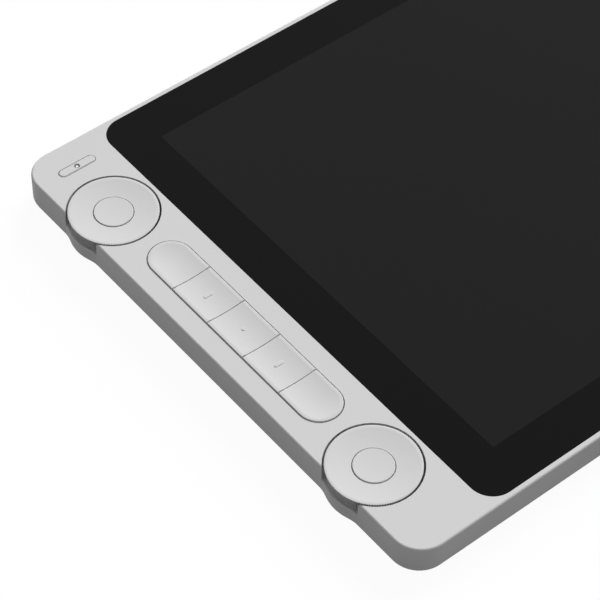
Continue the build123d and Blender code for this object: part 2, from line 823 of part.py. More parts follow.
# Control board, on posts of the casing under the strip
board_left = left + wall + board_margin
board_length = control_right - board_left
guide_pegs = [(x + side * guide_peg_place, y) for x, y in dial_places for side in (-1, 1)]
power_pegs = [(power_x + side * power_peg_place, power_y) for side in (-1, 1)]
with BuildPart() as control_board:
    slab(board_length, 2 * board_half, board_thickness, board_under, board_corner,
         x=(board_left + control_right) / 2)
    holes(strip_bosses, boss_radius + boss_gap, board_under, board_top)
    holes(frame_posts + board_posts, clear_radius, board_under, board_top)
    holes(guide_pegs, guide_peg_radius + running_gap, board_under, board_top)
    holes(power_pegs, power_peg_radius + running_gap, board_under, board_top)
control_board.part.label = "control_board"
export_step(control_board.part, "parts/control_board.step")

with BuildPart() as control_screws:
    screws(frame_posts, board_under, key_frame_top + post_pilot - board_under - clear_gap)
    screws(board_posts, board_under, board_thickness + post_pilot - clear_gap)
control_screws.part.label = "control_screws"
export_step(control_screws.part, "parts/control_screws.step")

with BuildPart() as control_chip:
    slab(control_chip_size, control_chip_size, control_chip_height, board_under - control_chip_height,
         x=key_x, y=-control_chip_share * board_half)
control_chip.part.label = "control_chip"
export_step(control_chip.part, "parts/control_chip.step")

# Keys: their edges along Y, their middles, and the trough that dishes all five as one
key_edges = [-keys_length / 2]
key_edges += [(number - key_count / 2) * key_pitch for number in range(1, key_count)]
key_edges += [keys_length / 2]
key_middles = [(low + high) / 2 for low, high in zip(key_edges, key_edges[1:])]
key_posts = [(key_x + side * key_post_place, y) for y in key_middles for side in (-1, 1)]
plungers = [(key_x, y) for y in key_middles]

# Frame that guides the keys: a plate with bushes, and legs that the control board sits on
with BuildPart() as key_frame:
    slab(board_length, 2 * key_frame_half, key_frame_thickness, key_frame_under, key_frame_corner,
         x=(board_left + control_right) / 2)
    columns(key_posts, key_post_radius + bush_wall, key_frame_top, key_frame_top + bush_height)
    columns(frame_posts, post_radius, board_top, key_frame_under)
    holes(key_posts, key_post_radius + running_gap, key_frame_under, key_frame_top + bush_height)
    holes(plungers, plunger_radius + clear_gap, key_frame_under, key_frame_top)
    holes(frame_posts, clear_radius, board_top, key_frame_top)
key_frame.part.label = "key_frame"
export_step(key_frame.part, "parts/key_frame.step")

dish_half = keys_width / 2 - key_slot_gap - key_dish_margin
key_dish_radius = (dish_half ** 2 + key_dish_depth ** 2) / (2 * key_dish_depth)
dish_z = key_top - key_dish_depth + key_dish_radius
dish_end = keys_length / 2 - keys_width / 2
with BuildPart() as key_dish:
    with BuildSketch(upright(key_x, dish_end)):
        with Locations((0, dish_z)):
            Circle(key_dish_radius)
    extrude(amount=2 * dish_end)
    for y in (-dish_end, dish_end):
        with Locations((key_x, y, dish_z)):
            Sphere(key_dish_radius)

key_under = key_top - key_thickness
key_flange_under = key_under - key_flange_height
middle_key = (key_count + 1) / 2
for number, (low, high) in enumerate(zip(key_edges, key_edges[1:]), start=1):
    middle = key_middles[number - 1]
    span = high - low - key_gap
    with BuildPart() as key:
        with BuildSketch(Plane.XY.offset(key_under)):
            with Locations((key_x, 0)):
                SlotOverall(keys_length - 2 * key_slot_gap, keys_width - 2 * key_slot_gap,
                            rotation=90)
            with Locations((key_x, middle)):
                Rectangle(keys_width, span, mode=Mode.INTERSECT)
        extrude(amount=key_thickness)
        chamfer(key.faces().sort_by(Axis.Z)[-1].edges(), key_edge)
        with BuildSketch(Plane.XY.offset(key_flange_under)):
            with Locations((key_x, 0)):
                SlotOverall(keys_length + 2 * key_flange, keys_width + 2 * key_flange, rotation=90)
            with Locations((key_x, middle)):
                if number in (1, key_count):
                    outer = key_flange if number == key_count else -key_flange
                    with Locations((0, outer / 2)):
                        Rectangle(keys_width + 2 * key_flange, span + key_flange, mode=Mode.INTERSECT)
                else:
                    Rectangle(keys_width + 2 * key_flange, span, mode=Mode.INTERSECT)
        extrude(amount=key_flange_height)
        add(key_dish.part, mode=Mode.SUBTRACT)
        if number not in (1, key_count):
            with BuildSketch(Plane.XY.offset(key_under)) as mark:
                with Locations((key_x, middle)):
                    if number == middle_key:
                        Circle(mark_width / 2)
                    else:
                        SlotOverall(mark_length, mark_width)
            extrude(mark.sketch, amount=key_thickness - key_dish_depth + mark_height)
            fillet(key.faces(Select.LAST).sort_by(Axis.Z)[-1].edges(), mark_rounding)
        posts = [(key_x + side * key_post_place, middle) for side in (-1, 1)]
        columns(posts, key_post_radius, key_frame_under, key_flange_under)
        columns([(key_x, middle)], plunger_radius, switch_top + key_travel + switch_play, key_flange_under)
    key.part.label = f"key_{number}"
    export_step(key.part, f"parts/key_{number}.step")


def tact_switch(x, y):
    """A square switch on the control board with a round button on top, in the open builder."""
    slab(switch_size, switch_size, switch_height, board_top, x=x, y=y)
    columns([(x, y)], switch_button_radius, board_top + switch_height, switch_top)


with BuildPart() as key_switches:
    for y in key_middles:
        tact_switch(key_x, y)
key_switches.part.label = "key_switches"
export_step(key_switches.part, "parts/key_switches.step")

# Power key: a small pill with two pegs that slide in the control board
power_under = power_top - power_thickness
power_flange_under = power_under - power_flange_height
power_plunger_x = power_x - power_plunger_place
with BuildPart() as power_key:
    with BuildSketch(Plane.XY.offset(power_under)):
        with Locations((power_x, power_y)):
            SlotOverall(power_length - 2 * power_gap, power_width - 2 * power_gap)
    extrude(amount=power_thickness)
    fillet(power_key.faces().sort_by(Axis.Z)[-1].edges(), power_edge)
    with BuildSketch(Plane.XY.offset(power_flange_under)):
        with Locations((power_x, power_y)):
            SlotOverall(power_length + 2 * power_flange, power_width + 2 * power_flange)
    extrude(amount=power_flange_height)
    columns(power_pegs, power_peg_radius, board_under + power_travel, power_flange_under)
    columns([(power_plunger_x, power_y)], plunger_radius, switch_top + power_travel + switch_play,
            power_flange_under)
    holes([(power_x, power_y)], lens_radius, power_flange_under, power_top)
    holes([(power_x, power_y)], lens_ring_radius, power_top - lens_ring_depth, power_top)
power_key.part.label = "power_key"
export_step(power_key.part, "parts/power_key.step")

# Clear lens in the power key, which carries the light of the diode below it to the top
led_top = board_top + led_height
with BuildPart() as power_lens:
    columns([(power_x, power_y)], lens_radius, led_top + power_travel + led_play,
            power_top - lens_recess)
power_lens.part.label = "power_lens"
export_step(power_lens.part, "parts/power_lens.step")

with BuildPart() as power_led:
    slab(led_size, led_size, led_height, board_top, x=power_x, y=power_y)
power_led.part.label = "power_led"
export_step(power_led.part, "parts/power_led.step")

with BuildPart() as power_switch:
    tact_switch(power_plunger_x, power_y)
power_switch.part.label = "power_switch"
export_step(power_switch.part, "parts/power_switch.step")

# Dials: heights and the dish that the wheel and the cap share
dish_bowl = (dial_dish_radius ** 2 + dial_dish_depth ** 2) / (2 * dial_dish_depth)


def dish_height(radius):
    """Height of the dial's hollow face at a distance from its axis: a shallow bowl."""
    return wheel_top - dial_dish_depth + dish_bowl - sqrt(dish_bowl ** 2 - radius ** 2)


wheel_under = recess_floor + wheel_gap
wheel_plate_under = dish_height(hub_bore) - wheel_plate
hub_under = floor_under - hub_drop
ring_top = floor_under - ring_play
ring_under = ring_top - ring_thickness
groove_radius = hub_radius - ring_groove
cap_under = dish_height(0) - cap_thickness
cap_flange_under = cap_under - cap_flange_height
guide_bore = cap_stem_radius + running_gap
guide_top_z = cap_flange_under - cap_travel - clear_gap
stem_under = switch_top + cap_travel + switch_play
sensor_place = (hub_radius + magnet_radius) / 2

for side, (x, y) in zip(("upper", "lower"), dial_places):
    axis = Axis((x, y, 0), (0, 0, 1))
    # Wheel: dished plate, tapered skirt, and a hub that turns in the floor of the recess
    with BuildPart() as dial_wheel:
        with BuildSketch(upright(x, y)):
            with BuildLine():
                half = (hub_bore + dial_dish_radius) / 2
                ThreePointArc((hub_bore, dish_height(hub_bore)), (half, dish_height(half)),
                              (dial_dish_radius, wheel_top))
                Line((dial_dish_radius, wheel_top), (wheel_radius - wheel_rounding, wheel_top))
                RadiusArc((wheel_radius - wheel_rounding, wheel_top),
                          (wheel_radius, wheel_top - wheel_rounding), wheel_rounding)
                Polyline((wheel_radius, wheel_top - wheel_rounding),
                         (wheel_radius - wheel_taper, wheel_under),
                         (wheel_radius - wheel_skirt, wheel_under),
                         (wheel_radius - wheel_skirt, wheel_plate_under),
                         (hub_radius, wheel_plate_under), (hub_radius, ring_top),
                         (groove_radius, ring_top), (groove_radius, ring_under),
                         (hub_radius, ring_under), (hub_radius, hub_under),
                         (hub_inner, hub_under), (hub_inner, cap_under + ring_play),
                         (hub_bore, cap_under + ring_play), (hub_bore, dish_height(hub_bore)))
            make_face()
        revolve(axis=axis)
    dial_wheel.part.label = f"{side}_dial_wheel"
    export_step(dial_wheel.part, f"parts/{side}_dial_wheel.step")

    # Cap: a dished disc, slightly proud, with a flange that the wheel holds down, on a stem over
    # its switch
    with BuildPart() as dial_cap:
        with BuildSketch(upright(x, y)):
            with BuildLine():
                half = (cap_radius - cap_edge) / 2
                middle = dish_height(0) + cap_rise
                rim = dish_height(cap_radius - cap_edge) + cap_rise
                ThreePointArc((0, middle), (half, dish_height(half) + cap_rise),
                              (cap_radius - cap_edge, rim))
                Polyline((cap_radius - cap_edge, rim), (cap_radius, rim - cap_edge),
                         (cap_radius, cap_under), (cap_radius + cap_flange, cap_under),
                         (cap_radius + cap_flange, cap_flange_under),
                         (cap_stem_radius, cap_flange_under), (cap_stem_radius, stem_under),
                         (0, stem_under), (0, middle))
            make_face()
        revolve(axis=axis)
    dial_cap.part.label = f"{side}_dial_cap"
    export_step(dial_cap.part, f"parts/{side}_dial_cap.step")

    # Snap ring in the hub's groove, under the floor of the recess
    with BuildPart() as dial_ring:
        with BuildSketch(Plane.XY.offset(ring_under)):
            with Locations((x, y)):
                Circle(ring_radius)
                Circle(groove_radius, mode=Mode.SUBTRACT)
                with Locations((ring_radius, 0)):
                    Rectangle(ring_radius, ring_opening, mode=Mode.SUBTRACT)
        extrude(amount=ring_thickness)
    dial_ring.part.label = f"{side}_dial_snap_ring"
    export_step(dial_ring.part, f"parts/{side}_dial_snap_ring.step")

    # Magnet ring at the foot of the hub, read by the sensor on the board
    with BuildPart() as magnet_ring:
        with BuildSketch(Plane.XY.offset(hub_under)):
            with Locations((x, y)):
                Circle(magnet_radius)
                Circle(hub_radius, mode=Mode.SUBTRACT)
        extrude(amount=ring_under - hub_under)
    magnet_ring.part.label = f"{side}_magnet_ring"
    export_step(magnet_ring.part, f"parts/{side}_magnet_ring.step")

    # Guide for the cap's stem: a sleeve on the control board, inside the hub
    with BuildPart() as cap_guide:
        columns([(x, y)], guide_foot_radius, board_top, board_top + guide_foot_height)
        columns([(x, y)], guide_bore + guide_wall, board_top, guide_top_z)
        columns([(x + end * guide_peg_place, y) for end in (-1, 1)], guide_peg_radius,
                board_under, board_top)
        holes([(x, y)], guide_bore, board_top, guide_top_z)
    cap_guide.part.label = f"{side}_cap_guide"
    export_step(cap_guide.part, f"parts/{side}_cap_guide.step")

with BuildPart() as cap_switches:
    for x, y in dial_places:
        tact_switch(x, y)
cap_switches.part.label = "cap_switches"
export_step(cap_switches.part, "parts/cap_switches.step")

with BuildPart() as rotation_sensors:
    for x, y in dial_places:
        slab(sensor_length, sensor_width, sensor_height, board_top, x=x, y=y - sensor_place)
rotation_sensors.part.label = "rotation_sensors"
export_step(rotation_sensors.part, "parts/rotation_sensors.step")
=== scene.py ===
import bpy
import numpy as np
from mathutils import Matrix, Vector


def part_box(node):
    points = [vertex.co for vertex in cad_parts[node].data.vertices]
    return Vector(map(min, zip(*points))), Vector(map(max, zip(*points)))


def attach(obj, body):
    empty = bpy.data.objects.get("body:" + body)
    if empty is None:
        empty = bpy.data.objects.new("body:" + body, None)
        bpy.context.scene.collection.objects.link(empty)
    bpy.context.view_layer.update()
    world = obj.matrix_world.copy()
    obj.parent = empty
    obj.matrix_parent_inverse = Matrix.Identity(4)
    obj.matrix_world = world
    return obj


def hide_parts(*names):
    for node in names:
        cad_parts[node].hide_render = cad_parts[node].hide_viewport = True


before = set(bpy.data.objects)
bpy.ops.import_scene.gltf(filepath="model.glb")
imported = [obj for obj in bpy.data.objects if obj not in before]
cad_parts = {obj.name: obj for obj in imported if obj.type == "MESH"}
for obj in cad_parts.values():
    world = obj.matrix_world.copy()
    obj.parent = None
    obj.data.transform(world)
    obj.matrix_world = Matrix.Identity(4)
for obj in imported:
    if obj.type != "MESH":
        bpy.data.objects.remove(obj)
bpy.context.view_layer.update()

MM = 0.001

# Upper casing and rear cover: the light grey shell of the tablet. Both are injection-moulded ABS
# with a fine, dull, spark-eroded texture. The cover is let into the casing's underside, and screws
# hold it there.


def linear(colour):
    """A colour written as sRGB hex, as the linear red, green, blue and alpha that Blender works in:
    a channel c is c / 12.92 up to 0.04045 and ((c + 0.055) / 1.055) ** 2.4 above that."""
    channels = np.array([int(colour[i:i + 2], 16) / 255 for i in (1, 3, 5)])
    low = channels / 12.92
    high = ((channels + 0.055) / 1.055) ** 2.4
    return (*np.where(channels <= 0.04045, low, high), 1.0)


def new_material(name, colour, roughness, **shader):
    """A material with one Principled shader, and that shader. Its other sockets are named by keyword
    arguments in lower case, such as specular_ior_level."""
    material = bpy.data.materials.new(name)
    material.use_nodes = True
    bsdf = material.node_tree.nodes["Principled BSDF"]
    bsdf.inputs["Base Color"].default_value = linear(colour)
    bsdf.inputs["Roughness"].default_value = roughness
    for socket, value in shader.items():
        bsdf.inputs[socket.replace("_", " ").title().replace("Ior", "IOR")].default_value = value
    return material, bsdf


def add(material, kind, inputs=None, outputs=None, **settings):
    """Adds a node to a material. Settings are its properties. Inputs give a socket a value, or the
    output of another node to be linked to it, and outputs link the new node's own to others."""
    tree = material.node_tree
    node = tree.nodes.new(kind)
    for name, value in settings.items():
        setattr(node, name, value)
    for socket, value in (inputs or {}).items():
        if isinstance(value, bpy.types.NodeSocket):
            tree.links.new(value, node.inputs[socket])
        else:
            node.inputs[socket].default_value = value
    for socket, target in (outputs or {}).items():
        tree.links.new(node.outputs[socket], target)
    return node


# Numbers of a Mix node's colour sockets, whose names it shares with its other kinds, and the
# number of finer layers in each noise
FACTOR, COLOUR_A, COLOUR_B, COLOUR = 0, 6, 7, 2
NOISE_DETAIL = 2.0


def object_place(material):
    """The output that gives a point's place on the tablet, in metres."""
    return add(material, "ShaderNodeTexCoord").outputs["Object"]


def vary(material, bsdf, place, colour, other, roughness, spread, size):
    """Lets the colour drift between two shades, and the roughness by a spread to each side, in soft
    patches of a size."""
    patches = add(material, "ShaderNodeTexNoise",
                  {"Vector": place, "Scale": 1 / size, "Detail": NOISE_DETAIL}).outputs["Fac"]
    add(material, "ShaderNodeMix",
        {FACTOR: patches, COLOUR_A: linear(colour), COLOUR_B: linear(other)},
        {COLOUR: bsdf.inputs["Base Color"]}, data_type="RGBA")
    add(material, "ShaderNodeMapRange",
        {"Value": patches, "To Min": roughness - spread, "To Max": roughness + spread},
        {"Result": bsdf.inputs["Roughness"]})


def roughen(material, bsdf, place, size, depth):
    """Raises and sinks the surface by a noise: the size of its grains and their depth."""
    grains = add(material, "ShaderNodeTexNoise",
                 {"Vector": place, "Scale": 1 / size, "Detail": NOISE_DETAIL}).outputs["Fac"]
    add(material, "ShaderNodeBump", {"Height": grains, "Distance": depth},
        {"Normal": bsdf.inputs["Normal"]})


def varied(name, colour, other, roughness, spread, size, **shader):
    """A material that drifts between two shades, its shader, and the place on the tablet that its
    patterns follow."""
    material, bsdf = new_material(name, colour, roughness, **shader)
    place = object_place(material)
    vary(material, bsdf, place, colour, other, roughness, spread, size)
    return material, bsdf, place


# Where the melt flowed into the mould, shade and gloss change very slightly over centimetres
FLOW_SIZE = 60 * MM
FLOW_SPREAD = 0.03


def moulded(name, colour, other, roughness, grain, depth):
    """Injection-moulded plastic, with the flow's slight change of shade and a grain from the mould's
    eroded surface."""
    material, bsdf, place = varied(name, colour, other, roughness, FLOW_SPREAD, FLOW_SIZE)
    roughen(material, bsdf, place, grain, depth)
    return material


def dress(material, *names):
    """Gives CAD nodes a material in place of the plain one that they were packed with."""
    for name in names:
        for material_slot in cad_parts[name].material_slots:
            material_slot.material = material


# The mould's grain is about 0.1 mm and is drawn three times as wide, so that it shows
casing_abs = moulded("abs_moulded_light_grey", "#D0D0D0", "#CDCDCD", roughness=0.55,
                     grain=0.3 * MM, depth=0.006 * MM)
dress(casing_abs, "upper_casing", "rear_cover")

# Dial caps, keys and power key: the same grey ABS, moulded in a finer texture that is smoother to
# the finger and a little glossier. The caps slide in guides on the control board, the keys in a
# frame above it, and the power key on two pegs.
control_abs = moulded("abs_moulded_fine_texture", "#D0D0D0", "#CECECE", roughness=0.48,
                      grain=0.2 * MM, depth=0.003 * MM)
key_names = [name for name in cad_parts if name.removeprefix("key_").isdigit()]
dress(control_abs, "power_key", "upper_dial_cap", "lower_dial_cap", *key_names)

# Dial wheels: moulded in the caps' ABS, hollow below, with fine upright ribs round the side that
# fade over the rim and grip the fingertip. Each turns on its hub in the floor of its recess, where
# a snap ring in the hub's groove holds it. Tops, feet and depths are measured down from the rim.
SHARP_ANGLE = 35
RIB_COUNT = 120
RIB_DEPTH = 0.28 * MM
RIB_RUNOUT = 0.25 * MM
RIB_SHARPNESS = 1.5
RIM_RIB_SHARES = (0.8, 0.3)
ANGLES_PER_RIB = 8
RIM_ROUNDING = 0.12 * MM
DISH_RADIUS = 14.08 * MM
DISH_DEPTH = 0.8 * MM
BORE_RADIUS = 6.76 * MM
BORE_DEPTH = 2.0 * MM
HUB_INSIDE = 7.2 * MM
HUB_OUTSIDE = 8.0 * MM
GROOVE_RADIUS = 7.7 * MM
GROOVE_TOP = 6.65 * MM
GROOVE_FOOT = 7.15 * MM
HOLLOW_RADIUS = 13.3 * MM
HOLLOW_TOP = 1.71 * MM
SKIRT_FOOT = 4.95 * MM
SKIRT_ROUNDING = 0.1 * MM
FLANK_FOOT = 4.8 * MM
FLANK_TOP = 0.15 * MM
FLANK_TAPER = 1.0 * MM
FOOT_POINTS, RUNOUT_POINTS, FLANK_POINTS, RIM_POINTS, DISH_POINTS = 3, 3, 11, 5, 24


def new_piece(name, points, faces, material):
    """A smooth piece from its points and from faces that number them. An edge stays sharp where its
    two faces turn by more than SHARP_ANGLE."""
    mesh = bpy.data.meshes.new(name)
    mesh.from_pydata(points.reshape(-1, 3).tolist(), [], faces)
    mesh.shade_smooth()
    mesh.set_sharp_from_angle(angle=np.radians(SHARP_ANGLE))
    mesh.materials.append(material)
    piece = bpy.data.objects.new(name, mesh)
    bpy.context.scene.collection.objects.link(piece)
    return piece


def ring_piece(name, points, material):
    """A closed ring from a grid of points, with a row for each turn and a column for each point of
    the section. A point makes a face with those after it in its row and in its column, and the
    first comes after the last."""
    rows, columns = points.shape[:2]
    row, column = np.meshgrid(np.arange(rows), np.arange(columns), indexing="ij")
    row_after, column_after = (row + 1) % rows, (column + 1) % columns
    faces = np.stack([row * columns + column, row_after * columns + column,
                      row_after * columns + column_after, row * columns + column_after], axis=-1)
    return new_piece(name, points, faces.reshape(-1, 4).tolist(), material)


def quarter(middle, radius, start, count):
    """Points on a quarter circle, counterclockwise from a start angle in degrees: the middle plus
    the radius times the cosine and the sine."""
    angles = np.radians(np.linspace(start, start + 90, count))
    return np.array(middle) + radius * np.column_stack([np.cos(angles), np.sin(angles)])


# The wheels' ribbed sides and rims are the caps' ABS drawn a darker grey: painted shade, standing
# for the shade in the recess round each wheel and between its ribs.
shaded_grip_abs = moulded("abs_ribbed_side_painted_shade", "#AAAAAA", "#A2A2A2", roughness=0.6,
                   grain=0.2 * MM, depth=0.004 * MM)
for side in ("upper", "lower"):
    wheel_low, wheel_high = (np.array(corner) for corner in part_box(f"{side}_dial_wheel"))
    axis = (wheel_low + wheel_high) / 2
    outer = (wheel_high[0] - wheel_low[0]) / 2
    rim, hub_foot = wheel_high[2], wheel_low[2]

    # The section, as distances from the axis and heights: out under the hub and up its side, over
    # the hollow and down to the skirt's foot, up the flank, and over the rim and dish into the bore
    below = [(HUB_INSIDE, hub_foot), (HUB_OUTSIDE, hub_foot), (HUB_OUTSIDE, rim - GROOVE_FOOT),
             (GROOVE_RADIUS, rim - GROOVE_FOOT), (GROOVE_RADIUS, rim - GROOVE_TOP),
             (HUB_OUTSIDE, rim - GROOVE_TOP), (HUB_OUTSIDE, rim - HOLLOW_TOP),
             (HOLLOW_RADIUS, rim - HOLLOW_TOP), (HOLLOW_RADIUS, rim - SKIRT_FOOT)]
    foot = quarter((outer - FLANK_TAPER - SKIRT_ROUNDING, rim - SKIRT_FOOT + SKIRT_ROUNDING),
                   SKIRT_ROUNDING, start=270, count=FOOT_POINTS)
    runout_top = FLANK_FOOT - RIB_RUNOUT
    depths = np.concatenate([np.linspace(FLANK_FOOT, runout_top, RUNOUT_POINTS),
                             np.linspace(runout_top, FLANK_TOP, FLANK_POINTS)[1:]])
    tapered = FLANK_TAPER * (depths - FLANK_TOP) / (FLANK_FOOT - FLANK_TOP)
    flank = np.column_stack([outer - tapered, rim - depths])
    rounded = quarter((outer - RIM_ROUNDING, rim - RIM_ROUNDING), RIM_ROUNDING, start=0,
                      count=RIM_POINTS)
    radii = np.linspace(DISH_RADIUS, BORE_RADIUS, DISH_POINTS)
    dish = np.column_stack([radii, rim - DISH_DEPTH * (1 - (radii / DISH_RADIUS) ** 2)])
    bore = [(BORE_RADIUS, rim - BORE_DEPTH), (HUB_INSIDE, rim - BORE_DEPTH)]
    section = np.vstack([below, foot, flank, rounded, dish, bore])

    # Grooves between the ribs: half of one plus the cosine of the turn times the number of ribs, to
    # a power that narrows them. They run out to nothing at the flank's foot.
    flank_start = len(below) + len(foot)
    rim_start = flank_start + len(flank)
    dish_start = rim_start + len(rounded)
    depth_shares = np.zeros(len(section))
    depth_shares[flank_start:rim_start] = np.minimum((FLANK_FOOT - depths) / RIB_RUNOUT, 1)
    depth_shares[rim_start:dish_start] = np.linspace(*RIM_RIB_SHARES, len(rounded))
    turns = np.linspace(0, 2 * np.pi, RIB_COUNT * ANGLES_PER_RIB, endpoint=False)[:, None]
    grooves = (0.5 + 0.5 * np.cos(RIB_COUNT * turns)) ** RIB_SHARPNESS
    distance = section[:, 0] - depth_shares * RIB_DEPTH * grooves
    points = np.stack([axis[0] + distance * np.cos(turns), axis[1] + distance * np.sin(turns),
                       np.broadcast_to(section[:, 1], distance.shape)], axis=-1)
    wheel = ring_piece(f"{side}_ribbed_wheel", points, control_abs)
    # The flank and rim faces take the darker grey of painted shade; the dish and the rest keep the
    # caps' ABS.
    wheel.data.materials.append(shaded_grip_abs)
    columns = np.tile(np.arange(len(section)), len(turns))
    grip = (columns >= flank_start) & (columns < dish_start - 1)
    wheel.data.polygons.foreach_set("material_index", grip.astype(np.int32))
    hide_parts(f"{side}_dial_wheel")
    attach(wheel, f"{side}_wheel")

# Lens of the power light: a short clear rod of moulded polycarbonate, pressed into the power key
# from below. Its end is frosted, so that it glows evenly and looks whitish when it is off.
lens_polycarbonate, lens_bsdf = new_material("polycarbonate_frosted", "#F4F4F4", roughness=0.35)
roughen(lens_polycarbonate, lens_bsdf, object_place(lens_polycarbonate), size=0.1 * MM,
        depth=0.004 * MM)
dress(lens_polycarbonate, "power_lens")

# Cover glass: hardened glass, etched matt on its face and printed black on its back around the
# picture. The panel is bonded to it, so that the picture's area is only slightly lighter.
PANEL_BORDER = np.array([4.0, 5.5]) * MM
PRINT_BLACK = "#101010"
PICTURE_BLACK = "#1D1D1D"
glass, glass_bsdf = new_material("glass_etched_printed_black", PRINT_BLACK, roughness=0.22,
                                 specular_ior_level=0.06)
panel_low, panel_high = (np.array(corner)[:2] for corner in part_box("lcd_panel"))
picture_middle = (panel_low + panel_high) / 2
picture_half = (panel_high - panel_low) / 2 - PANEL_BORDER

# A point's distances from the picture's middle along X and Y are taken as shares of the half
# sizes, and it lies inside the picture where the larger share is below one
place = object_place(glass)
from_middle = add(glass, "ShaderNodeVectorMath", {0: place, 1: (*picture_middle, 0)},
                  operation="SUBTRACT").outputs[0]
aside = add(glass, "ShaderNodeVectorMath", {0: from_middle}, operation="ABSOLUTE").outputs[0]
shares = add(glass, "ShaderNodeVectorMath", {0: aside, 1: (*picture_half, 1)},
             operation="DIVIDE").outputs[0]
split = add(glass, "ShaderNodeSeparateXYZ", {0: shares}).outputs
larger = add(glass, "ShaderNodeMath", {0: split["X"], 1: split["Y"]},
             operation="MAXIMUM").outputs[0]
inside = add(glass, "ShaderNodeMath", {0: larger, 1: 1.0}, operation="LESS_THAN").outputs[0]
add(glass, "ShaderNodeMix",
    {FACTOR: inside, COLOUR_A: linear(PRINT_BLACK), COLOUR_B: linear(PICTURE_BLACK)},
    {COLOUR: glass_bsdf.inputs["Base Color"]}, data_type="RGBA")
roughen(glass, glass_bsdf, place, size=0.25 * MM, depth=0.0008 * MM)
dress(glass, "cover_glass")

# Rubber feet: discs of moulded silicone rubber, dark grey and dull. Each is glued into a shallow
# recess of the rear cover.
foot_rubber = moulded("silicone_rubber_dark_grey", "#2C2C2D", "#333334", roughness=0.8,
                      grain=0.25 * MM, depth=0.01 * MM)
dress(foot_rubber, *[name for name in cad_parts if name.startswith("foot_")])

# Screws: cold-headed steel with a thin nickel plate, whose gloss differs a little from screw to
# screw. They hold the rear cover, the chassis plate and the two boards.
screw_steel, screw_bsdf, place = varied("steel_nickel_plated", "#B9B7B2", "#A6A49F", roughness=0.32,
                                        spread=0.08, size=1.5 * MM, metallic=1.0)
roughen(screw_steel, screw_bsdf, place, size=0.2 * MM, depth=0.004 * MM)
dress(screw_steel, "casing_screws", "chassis_screws", "control_screws", "main_board_screws")

# Pressed sheets: tin-plated steel for the tray, the shield, the can, the stand-offs, the snap rings
# and the sockets' shells, and half-hard aluminium for the chassis plate. The rolling leaves fine
# streaks along the sheet, drawn a few tenths of a millimetre wide so that they show.
STREAK_LENGTH = 30 * MM
STREAK_WIDTH = 0.3 * MM
STREAK_DEPTH = 0.002 * MM
STREAK_SPREAD = 0.06


def rolled(name, colour, other, roughness):
    """Rolled sheet metal: one noise, stretched to streaks along X by dividing each coordinate by the
    streak's size along it, varies its shade and gloss and raises its surface."""
    material, bsdf = new_material(name, colour, roughness, metallic=1.0)
    streaks = add(material, "ShaderNodeMapping", {
        "Vector": object_place(material),
        "Scale": (1 / STREAK_LENGTH, 1 / STREAK_WIDTH, 1 / STREAK_WIDTH)}).outputs["Vector"]
    vary(material, bsdf, streaks, colour, other, roughness, STREAK_SPREAD, size=1.0)
    roughen(material, bsdf, streaks, size=1.0, depth=STREAK_DEPTH)
    return material


tin_plate = rolled("steel_sheet_tin_plated", "#BDBDBA", "#ADADAA", roughness=0.34)
chassis_aluminium = rolled("aluminium_sheet_rolled", "#C9CACB", "#BCBDBE", roughness=0.4)
dress(tin_plate, "backlight_tray", "shield_plate", "shield_can", "board_standoffs", "usb_socket_1",
      "usb_socket_2", "upper_dial_snap_ring", "lower_dial_snap_ring")
dress(chassis_aluminium, "chassis_plate")

# Panel, adhesive, films, light guide and reflector: the layers that make the picture. A clear
# adhesive bonds the panel, whose polariser is nearly black, to the cover glass. The other layers,
# cut from glossy acrylic and polyester sheet, lie in their frame and tray behind it.
panel_glass = varied("polarised_panel_glass", "#17181A", "#1B1C1F", roughness=0.18, spread=0.03,
                     size=40 * MM)[0]
dress(panel_glass, "lcd_panel")
clear_acrylic = varied("acrylic_sheet_clear", "#EEF1F2", "#E6EAEC", roughness=0.12, spread=0.04,
                       size=30 * MM)[0]
dress(clear_acrylic, "optical_adhesive", "diffuser_films", "light_guide", "reflector_sheet")

# Small mouldings inside: white glass-filled nylon for the panel's frame, the diodes' bodies and the
# flat cables' connectors, and black for the key frame, the cap guides, the switches and the cases
# of the chips and sensors. They are snapped in or soldered to their boards.
white_nylon = moulded("nylon_moulded_white", "#E9E7E1", "#E3E1DA", roughness=0.5,
                      grain=0.2 * MM, depth=0.004 * MM)
dress(white_nylon, "panel_frame", "led_bar", "flex_connectors", "power_led")
black_nylon = moulded("nylon_moulded_black", "#1C1C1D", "#222223", roughness=0.5,
                      grain=0.2 * MM, depth=0.004 * MM)
dress(black_nylon, "key_frame", "key_switches", "power_switch", "cap_switches", "upper_cap_guide",
      "lower_cap_guide", "main_chips", "control_chip", "rotation_sensors")

# Socket tongues: black nylon moulded over a steel middle plate, pressed into each socket's shell.
# Either face carries twelve contacts of gold-plated copper alloy, 0.25 mm wide and 0.5 mm apart.
TONGUE_ROOT = 6.2 * MM
TONGUE_TIP = 1.35 * MM
TONGUE_HALF_WIDTH = 3.42 * MM
TONGUE_HALF_HEIGHT = 0.41 * MM
SECTION_POINTS = 48
SECTION_POWER = 0.4
TIP_ROUNDING = 0.2 * MM
TIP_SHARES = np.array([0, 0, 0.2, 0.8])
CONTACT_COUNT = 12
CONTACT_PITCH = 0.5 * MM
CONTACT_HALF_WIDTH = 0.125 * MM
CONTACT_CROWN_SHARE = 0.7
CONTACT_HEIGHT = 0.03 * MM
CONTACT_SINK = 0.005 * MM
CONTACT_ROOT = 5.6 * MM
CONTACT_TIP = 1.9 * MM
CONTACT_SLOPE = 0.1 * MM
CONTACT_HEIGHT_SHARES = np.array([1.0, 1.0, 0.3])


